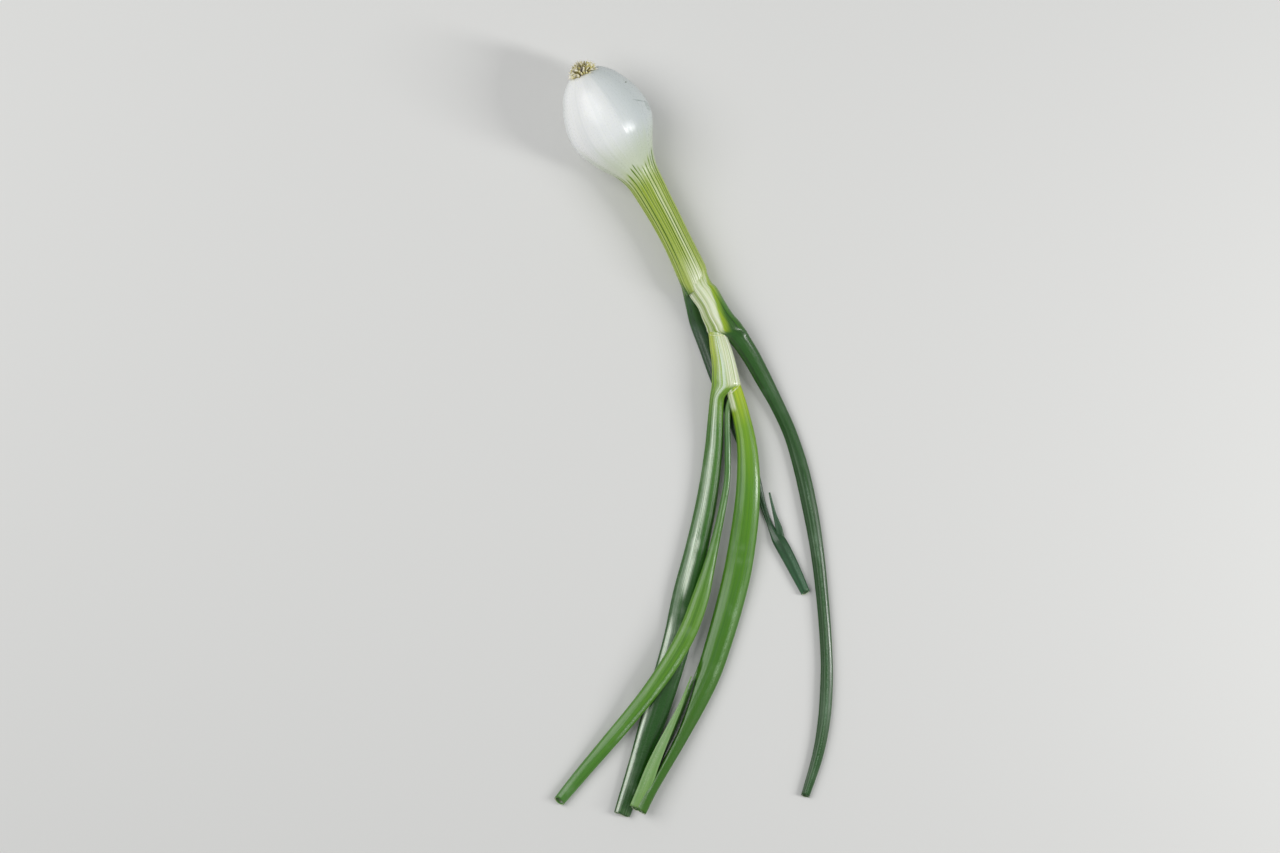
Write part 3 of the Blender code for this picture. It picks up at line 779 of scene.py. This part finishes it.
# Right leaf.
# The next leaf in, grown as one: its pale ribbed sheath carries on out of the neck round the
# younger leaves, opens in a slanting mouth, and its right side runs on as the dark blade.
RIGHT_SHEATH = (
    (26.5, -57.7, 35.5, -53.9, 2.8, 10.4),
    (28.1, -62.4, 37.7, -58.9, 2.1, 11.0),
    (29.6, -65.0, 39.6, -60.6, 2.8, 10.0),
    (32.5, -69.1, 42.5, -65.5, 3.9, 8.5),
    (34.1, -73.2, 45.6, -70.5, 4.1, 7.9),
    (35.6, -76.6, 48.7, -74.1, 4.1, 7.5),
    (36.4, -78.6, 50.5, -76.6, 4.0, 7.2),
    (41.6, -80.3, 51.4, -77.7, 4.0, 5.8),
    (44.2, -81.7, 52.1, -79.0, 3.9, 4.8),
)
RIGHT_BLADE = (
    (52.9, -87.2, 2.9, 7.2, 4.0, 0.0),
    (57.9, -96.2, 1.8, 6.6, 3.8, 0.0),
    (63.1, -106.0, 0.9, 5.6, 3.4, 0.0),
    (68.3, -117.4, 0.2, 5.5, 3.4, 0.0),
    (72.4, -130.5, 0.0, 6.1, 3.5, 0.0),
    (76.0, -146.7, 0.0, 6.1, 3.5, 0.0),
    (78.7, -162.9, 0.0, 5.4, 3.4, 0.0),
    (81.0, -183.3, 0.0, 4.9, 3.3, 0.0),
    (82.3, -202.5, 0.0, 4.8, 3.2, 0.0),
    (82.3, -216.0, 0.0, 5.2, 3.2, 0.0),
    (81.4, -228.3, 0.0, 5.0, 3.1, 0.0),
    (78.9, -241.8, 0.0, 4.4, 2.9, 0.0),
    (73.9, -258.2, 0.0, 3.5, 2.6, 0.0),
)
SHEATH_STEP = 0.7
right_stops = (
    (0.0, (0.34, 0.47, 0.06)),
    (0.025, (0.22, 0.36, 0.03)),
    (0.06, (0.06, 0.19, 0.008)),
    (0.12, (0.018, 0.10, 0.004)),
    (0.4, (0.012, 0.075, 0.006)),
    (1.0, (0.016, 0.09, 0.01)),
)
# Bands of painted highlight: place across, half width, strength, and where each starts and ends along
# the leaf.
right_highlight_bands = (
    (-0.1, 0.28, 0.8, 0.085, 0.225),
    (0.35, 0.2, 0.35, 0.10, 0.15),
)
right_green = leaf_skin("right_leaf_skin", right_stops, length=240.0, vein=(0.006, 0.035, 0.003),
                        bloom_and_highlight_tone=(0.17, 0.27, 0.17), shine=0.30, highlight_bands=right_highlight_bands,
                        pale=(1.0, -41.0, 0.8, 0.0275, 0.009))
right_mesh = new_mesh()
right_relief = leaf_relief(16, 0.06, 3.0, crease=(math.pi * 0.25, 0.3, 0.16), ribbed=24.0)
right_rows = RIGHT_SHEATH + edge_rows(RIGHT_BLADE)
add_leaf(right_mesh, edge_path(right_rows, SHEATH_STEP), right_relief, hollow=10.0)
finish_piece(right_mesh, "right_leaf_tube", right_green, "leaf_dark", "right_leaf")

# Left leaf.
# It comes out of the right leaf's mouth as a pale striped stem that still holds the two
# youngest leaves. The stem opens on its right, and its left side runs on as a broad flat blade.
LEFT_STEM = (
    (35.2, -73.2, 41.0, -72.4, 5.3, 4.6),
    (35.9, -76.2, 42.6, -75.8, 4.8, 5.4),
    (36.5, -79.2, 43.7, -79.4, 4.5, 5.9),
    (37.0, -83.9, 45.4, -83.9, 4.1, 6.3),
    (37.7, -89.3, 47.0, -89.3, 3.8, 6.4),
    (37.9, -93.2, 48.0, -93.4, 3.7, 6.4),
    (37.8, -96.6, 48.8, -96.8, 3.7, 6.3),
    (37.7, -98.9, 49.0, -98.7, 3.7, 6.1),
    (37.4, -100.9, 46.0, -100.6, 3.8, 5.6),
    (37.1, -103.0, 43.2, -102.9, 3.8, 5.0),
    (36.8, -105.9, 42.6, -105.9, 3.5, 4.6),
)
LEFT_BLADE = (
    (39.4, -111.0, 2.8, 6.1, 4.5, 0.0),
    (38.7, -123.6, 1.2, 7.2, 4.4, 0.0),
    (36.0, -142.8, 0.1, 8.2, 4.4, 0.0),
    (32.0, -162.1, 0.0, 9.1, 4.4, 0.0),
    (27.9, -179.4, 0.0, 10.3, 4.2, 0.0),
    (24.6, -196.7, 0.0, 11.0, 4.2, 0.0),
    (19.6, -214.4, 0.0, 10.7, 4.1, 0.0),
    (14.8, -229.5, 0.0, 9.9, 3.8, 0.0),
    (9.2, -246.8, 0.0, 8.1, 3.5, 0.0),
    (3.0, -265.3, 0.0, 6.6, 3.3, 0.0),
)
left_stops = (
    (0.0, (0.50, 0.58, 0.08)),
    (0.06, (0.46, 0.58, 0.08)),
    (0.13, (0.22, 0.40, 0.03)),
    (0.22, (0.07, 0.21, 0.02)),
    (0.5, (0.024, 0.12, 0.010)),
    (0.8, (0.013, 0.08, 0.006)),
    (1.0, (0.02, 0.10, 0.008)),
)
# Bands of painted highlight: place across, half width, strength, and where each starts and ends along
# the leaf.
left_highlight_bands = (
    (0.2, 0.5, 1.2, 0.0, 0.115),
    (0.7, 0.25, 1.3, 0.115, 0.21),
)
left_green = leaf_skin("left_leaf_skin", left_stops, length=200.0, vein=(0.012, 0.06, 0.005),
                       bloom_and_highlight_tone=(0.66, 0.76, 0.60), shine=0.28, highlight_bands=left_highlight_bands,
                       pale=(-1.0, -8.0, 0.05, 0.0285, 0.0), streaks=0.5, grit=0.15)
left_mesh = new_mesh()
left_relief = leaf_relief(20, 0.07, 5.0, crease=(math.pi * 0.12, 0.12, 0.25), ribbed=30.0)
left_path = edge_path(LEFT_STEM + edge_rows(LEFT_BLADE), SHEATH_STEP)
add_leaf(left_mesh, left_path, left_relief, hollow=12.0, cut=0.8, ragged=0.35)
finish_piece(left_mesh, "left_leaf_tube", left_green, "leaf_mid", "left_leaf")

# Broad leaf.
# The widest and brightest leaf, out of the left leaf's stem. Near its end the upper wall is
# slit, and a long strip of that wall stands loose beside the hollow inside, painted in shadow.
BROAD_BLADE = (
    (44.7, -93.8, 5.2, 4.4, 3.4, 0.0),
    (46.6, -100.6, 4.6, 6.2, 4.3, 0.0),
    (49.4, -111.0, 3.8, 6.9, 4.9, 0.0),
    (51.4, -121.7, 3.5, 7.9, 5.0, 0.0),
    (52.0, -133.2, 3.3, 9.1, 5.0, 0.0),
    (51.5, -144.8, 2.8, 9.9, 5.0, 0.0),
    (50.2, -156.3, 1.8, 10.5, 4.9, 0.0),
    (47.6, -171.7, 0.5, 10.8, 4.8, 0.0),
    (44.3, -185.2, 0.0, 10.6, 4.8, 0.0),
    (40.6, -198.0, 0.0, 10.2, 4.7, 0.0),
    (36.8, -209.4, 0.0, 9.8, 4.6, 0.0),
    (31.8, -220.4, 0.2, 9.3, 4.5, 4.0),
    (25.2, -232.9, 0.9, 8.5, 4.2, 10.0),
    (18.4, -245.2, 1.9, 7.8, 4.0, 15.0),
    (13.4, -254.5, 2.6, 7.2, 3.9, 17.0),
    (9.2, -263.4, 3.1, 6.8, 3.8, 17.0),
)
BROAD_FLAP = (
    (29.8, -210.7, 30.2, -211.0, 5.0, 0.4),
    (25.6, -220.5, 26.9, -221.4, 4.7, 0.6),
    (20.9, -229.4, 23.3, -230.7, 4.7, 0.8),
    (16.3, -237.8, 20.0, -239.0, 5.1, 0.9),
    (12.3, -246.0, 16.9, -247.4, 5.6, 0.9),
    (9.0, -254.0, 14.4, -255.4, 5.8, 1.0),
    (6.2, -260.6, 11.6, -262.0, 5.8, 1.0),
)
SLIT_PLACES = (114.0, 124.0, 131.0, 144.0, 158.0, 170.0)
SLIT_ANGLES = (0.35, 0.5, 0.75, 1.2, 1.4, 1.5)
SLIT_DEPTHS = (0.0, 1.0, 1.8, 2.0, 1.2, 0.0)
SLIT_HALF = 0.42
broad_stops = (
    (0.0, (0.52, 0.64, 0.05)),
    (0.05, (0.42, 0.56, 0.012)),
    (0.12, (0.18, 0.37, 0.005)),
    (0.25, (0.09, 0.26, 0.003)),
    (0.55, (0.055, 0.19, 0.002)),
    (0.8, (0.034, 0.13, 0.002)),
    (1.0, (0.045, 0.15, 0.004)),
)
# Bands of painted highlight: place across, half width, strength, and where each starts and ends along
# the leaf.
broad_highlight_bands = (
    (-0.55, 0.25, 0.7, 0.075, 0.13),
    (0.75, 0.2, 0.3, 0.08, 0.125),
    (-0.2, 0.5, 0.25, 0.14, 0.185),
)
broad_green = leaf_skin("broad_leaf_skin", broad_stops, length=182.0, vein=(0.03, 0.14, 0.004),
                        bloom_and_highlight_tone=(0.30, 0.46, 0.24), shine=0.32, highlight_bands=broad_highlight_bands,
                        pale=(1.0, 0.0, -0.45, 0.0155, 0.0))
flap_stops = (
    (0.0, (0.14, 0.30, 0.06)),
    (0.5, (0.20, 0.36, 0.12)),
    (1.0, (0.16, 0.33, 0.06)),
)
# Its band is a painted highlight over the flap's upper side.
flap_green = leaf_skin("torn_flap_skin", flap_stops, length=55.0, vein=(0.10, 0.24, 0.05),
                       bloom_and_highlight_tone=(0.42, 0.54, 0.36), shine=0.42, highlight_bands=((0.2, 0.8, 0.5, 0.0, 0.055),))


def broad_relief(angle, distance):
    """The broad leaf's veins, with the slit sunk into its upper wall near the end, and painted shadow
    marked in the slit.
    """
    lift, dark = leaf_relief(22, 0.07, 7.0)(angle, distance)
    if SLIT_PLACES[0] < distance < SLIT_PLACES[-1]:
        at = read_curve(SLIT_PLACES, SLIT_ANGLES, distance)
        deep = max(read_curve(SLIT_PLACES, SLIT_DEPTHS, distance), 0.0)
        share = 1 - ease(abs(angle - at), SLIT_HALF * 0.55, SLIT_HALF)
        lift -= deep * share
        # Painted shadow: the slit is marked dark, so the skin paints it near black.
        dark = max(dark, 1.2 * share * min(deep, 1.0))
    return lift, dark


broad_mesh = new_mesh()
broad_path = leaf_path(BROAD_BLADE, SHEATH_STEP)
add_leaf(broad_mesh, broad_path, broad_relief, hollow=12.0, sides=72, cut=1.0, ragged=0.4)
finish_piece(broad_mesh, "broad_leaf_blade", broad_green, "leaf_bright", "broad_leaf")
flap_mesh = new_mesh()
flap_relief = leaf_relief(6, 0.03, 8.0)
add_leaf(flap_mesh, edge_path(BROAD_FLAP, step=0.8), flap_relief, hollow=0.0, sides=32)
finish_piece(flap_mesh, "broad_leaf_flap", flap_green, "leaf_bright")

# Centre leaf.
# The youngest leaf, slim where it comes out beside the broad one, kinked a third of the way
# down, then wider where it crosses over the left leaf to its own cut end.
CENTRE_BLADE = (
    (46.0, -101.2, 6.0, 1.8, 1.6, 0.0),
    (44.2, -107.0, 5.0, 2.2, 1.9, 0.0),
    (43.9, -114.0, 4.6, 2.3, 2.0, 0.0),
    (44.1, -123.6, 4.4, 2.5, 2.1, 0.0),
    (43.8, -135.1, 4.0, 2.5, 2.1, 0.0),
    (41.9, -146.4, 3.8, 2.9, 2.3, 0.0),
    (39.4, -158.2, 3.8, 3.5, 2.6, 0.0),
    (36.9, -168.4, 4.0, 4.7, 2.9, 0.0),
    (33.5, -180.4, 4.4, 6.6, 3.3, 0.0),
    (28.9, -192.9, 4.7, 7.2, 3.6, 0.0),
    (22.4, -204.8, 4.7, 7.1, 3.7, 0.0),
    (14.3, -216.4, 4.0, 6.6, 3.7, 0.0),
    (6.0, -227.0, 2.3, 6.2, 3.6, 0.0),
    (-2.2, -236.8, 1.0, 5.9, 3.5, 0.0),
    (-10.8, -247.0, 0.2, 5.5, 3.3, 0.0),
    (-21.8, -260.3, 0.0, 4.6, 3.1, 0.0),
)
centre_stops = (
    (0.0, (0.16, 0.30, 0.08)),
    (0.1, (0.05, 0.17, 0.03)),
    (0.3, (0.07, 0.21, 0.015)),
    (0.5, (0.11, 0.28, 0.008)),
    (0.75, (0.085, 0.25, 0.012)),
    (1.0, (0.06, 0.21, 0.02)),
)
# Its band is a painted highlight along one side of the leaf's top.
centre_green = leaf_skin("centre_leaf_skin", centre_stops, length=180.0, vein=(0.03, 0.13, 0.006),
                         bloom_and_highlight_tone=(0.42, 0.56, 0.38), shine=0.32, highlight_bands=((-0.6, 0.3, 0.85, 0.095, 0.15),))
centre_mesh = new_mesh()
centre_relief = leaf_relief(16, 0.05, 9.0)
add_leaf(centre_mesh, leaf_path(CENTRE_BLADE), centre_relief, hollow=10.0, cut=2.0, ragged=0.1)
finish_piece(centre_mesh, "centre_leaf_tube", centre_green, "leaf_bright", "centre_leaf")

# Mouths of the sheaths.
# Where each sheath ends, its thin dry edge clings round the leaf that comes out of it, as a
# narrow puckered lip. Each lip goes just over half way round and thins out at its ends.
LIPS = (
    (left_path, 6.6, 0.7, 0.15, -0.25, 3.4),
    (broad_path, 6.4, 0.6, 1.5, -0.3, 3.5),
)
LIP_POINTS = 60
LIP_FIT = 1.0
LIP_SIZE = 0.19
LIP_SIDES = 14


def membrane_skin():
    """Thin dry membrane, pale yellow-green with whiter wrinkles."""
    material, tools, shader, place, (across, over, along), groove, where = new_material("membrane")
    wrinkle = tools.noise(where, 1400.0, 3.0)
    colour = tools.mix(wrinkle.rise(0.42, 0.66), (0.46, 0.58, 0.14), (0.78, 0.83, 0.56))
    feed(shader, "Base Color", colour)
    feed(shader, "Roughness", wrinkle * 0.3 + 0.3)
    feed_bump(tools, shader, wrinkle, 0.6, 0.0002)
    return material


def lip_relief(angle, distance):
    """Puckers along a lip."""
    return 0.10 * noise.noise(Vector((distance * 1.2, math.sin(angle), 3.0))), 0.0


lip_mesh = new_mesh()
for (ringed, _), at, forward, slant, start, end in LIPS:
    ring_frame = ringed[round(at / SHEATH_STEP)]
    centres = []
    for index in range(LIP_POINTS + 1):
        turn = start + (end - start) * index / LIP_POINTS
        reach = forward * math.sin(turn) + slant * math.cos(turn)
        fit = LIP_FIT - 0.09 * math.cos(turn) ** 6
        reach += 0.05 * math.sin(7 * turn) + 0.03 * math.sin(17 * turn)
        flat = Vector((math.cos(turn) * fit, math.sin(turn) * fit, 0.0))
        centres.append(ring_frame @ flat + ring_frame.col[2].to_3d() * reach)
    frames = []
    for index, centre in enumerate(centres):
        ahead = (centres[min(index + 1, LIP_POINTS)] - centres[max(index - 1, 0)]).normalized()
        size = LIP_SIZE * math.sin(math.pi * (0.06 + 0.88 * index / LIP_POINTS)) ** 0.5
        size *= 1.0 + 0.25 * math.sin(index * 0.9)
        frames.append(section_frame(centre, ahead, size, size * 0.7))
    lip_path = (frames, running_length(centres, 3))
    add_leaf(lip_mesh, lip_path, lip_relief, hollow=0.0, sides=LIP_SIDES)
finish_piece(lip_mesh, "sheath_lips", membrane_skin(), "leaf_bright")

# Water drops.
# The onion has been rinsed, and small beads of clear water still stand on its waxy leaves. Each
# bead is a flattened sphere that sits on the leaf below it.
DROPS = (
    (29.3, -65.8, 0.30),
    (30.1, -69.9, 0.42),
    (31.1, -73.7, 0.30),
    (9.0, -241.0, 0.40),
    (6.7, -248.7, 0.30),
    (7.4, -251.4, 0.36),
    (60.3, -104.0, 0.30),
    (43.4, -141.4, 0.30),
)
DROP_FLATNESS = 0.55
DROP_LIFT = 0.1
ABOVE_ALL = 60.0


def top_of(x, y):
    """Highest point of the onion above a place on the floor."""
    hits = [skin.ray_cast(Vector((x, y, ABOVE_ALL)), Vector((0, 0, -1)))[0] for skin in skins]
    return max((hit.z for hit in hits if hit), default=0.0)


water = bpy.data.materials.new("water")
water.use_nodes = True
water_shader = water.node_tree.nodes["Principled BSDF"]
water_shader.inputs["Base Color"].default_value = (0.95, 1.0, 0.97, 1)
water_shader.inputs["Roughness"].default_value = 0.03
water_shader.inputs["IOR"].default_value = 1.33
water_shader.inputs["Transmission Weight"].default_value = 1.0
drop_mesh = new_mesh()
for x, y, radius in DROPS:
    spot = Matrix.Translation((x, y, top_of(x, y) + radius * DROP_LIFT))
    shape = spot @ Matrix.Diagonal((radius, radius, radius * DROP_FLATNESS, 1.0))
    bmesh.ops.create_uvsphere(drop_mesh, u_segments=20, v_segments=12, radius=1.0, matrix=shape)
finish_piece(drop_mesh, "water_drops", water, "leaf_dark")

# Floor, light and camera.
# A plain pale floor and soft studio boxes, with the camera straight above as in the photograph.
FLOOR_HALF = 2.0
FLOOR_DROP = 0.0002
VIEW_CENTRE = (0.0102, -0.1145)
VIEW_WIDTH = 0.4928
LENS = 100.0
SENSOR = 36.0
OBJECT_HEIGHT = 0.008

floor_mesh = bmesh.new()
bmesh.ops.create_grid(floor_mesh, x_segments=1, y_segments=1, size=FLOOR_HALF)
bmesh.ops.translate(floor_mesh, vec=(0.0, 0.0, -FLOOR_DROP), verts=floor_mesh.verts)
floor_data = bpy.data.meshes.new("floor")
floor_mesh.to_mesh(floor_data)
floor_mesh.free()
floor = bpy.data.objects.new("floor", floor_data)
bpy.context.scene.collection.objects.link(floor)
floor_material = bpy.data.materials.new("floor_paper")
floor_material.use_nodes = True
floor_shader = floor_material.node_tree.nodes["Principled BSDF"]
floor_shader.inputs["Base Color"].default_value = (0.70, 0.70, 0.68, 1)
floor_shader.inputs["Roughness"].default_value = 0.85
floor_data.materials.append(floor_material)


def add_box(name, place, aim, size, power):
    """One white studio light box, turned to face a point."""
    data = bpy.data.lights.new(name, "AREA")
    data.shape = "RECTANGLE"
    data.size, data.size_y = size
    data.energy = power
    lamp = bpy.data.objects.new(name, data)
    lamp.location = place
    lamp.rotation_euler = (Vector(aim) - Vector(place)).to_track_quat("-Z", "Y").to_euler()
    bpy.context.scene.collection.objects.link(lamp)


add_box("key_box", (-0.55, 0.1, 0.8), (0.02, -0.11, 0.0), (0.7, 0.8), 5.4)
add_box("side_box", (0.75, -0.2, 0.5), (0.03, -0.11, 0.0), (0.12, 0.4), 3.8)

world = bpy.data.worlds.new("studio")
world.use_nodes = True
world.node_tree.nodes["Background"].inputs["Color"].default_value = (0.96, 0.97, 1.0, 1)
world.node_tree.nodes["Background"].inputs["Strength"].default_value = 0.35
bpy.context.scene.world = world
bpy.context.scene.view_settings.view_transform = "Standard"

camera_data = bpy.data.cameras.new("camera")
camera_data.lens = LENS
camera_data.sensor_width = SENSOR
camera = bpy.data.objects.new("camera", camera_data)
camera.location = (*VIEW_CENTRE, OBJECT_HEIGHT + VIEW_WIDTH * LENS / SENSOR)
bpy.context.scene.collection.objects.link(camera)
bpy.context.scene.camera = camera
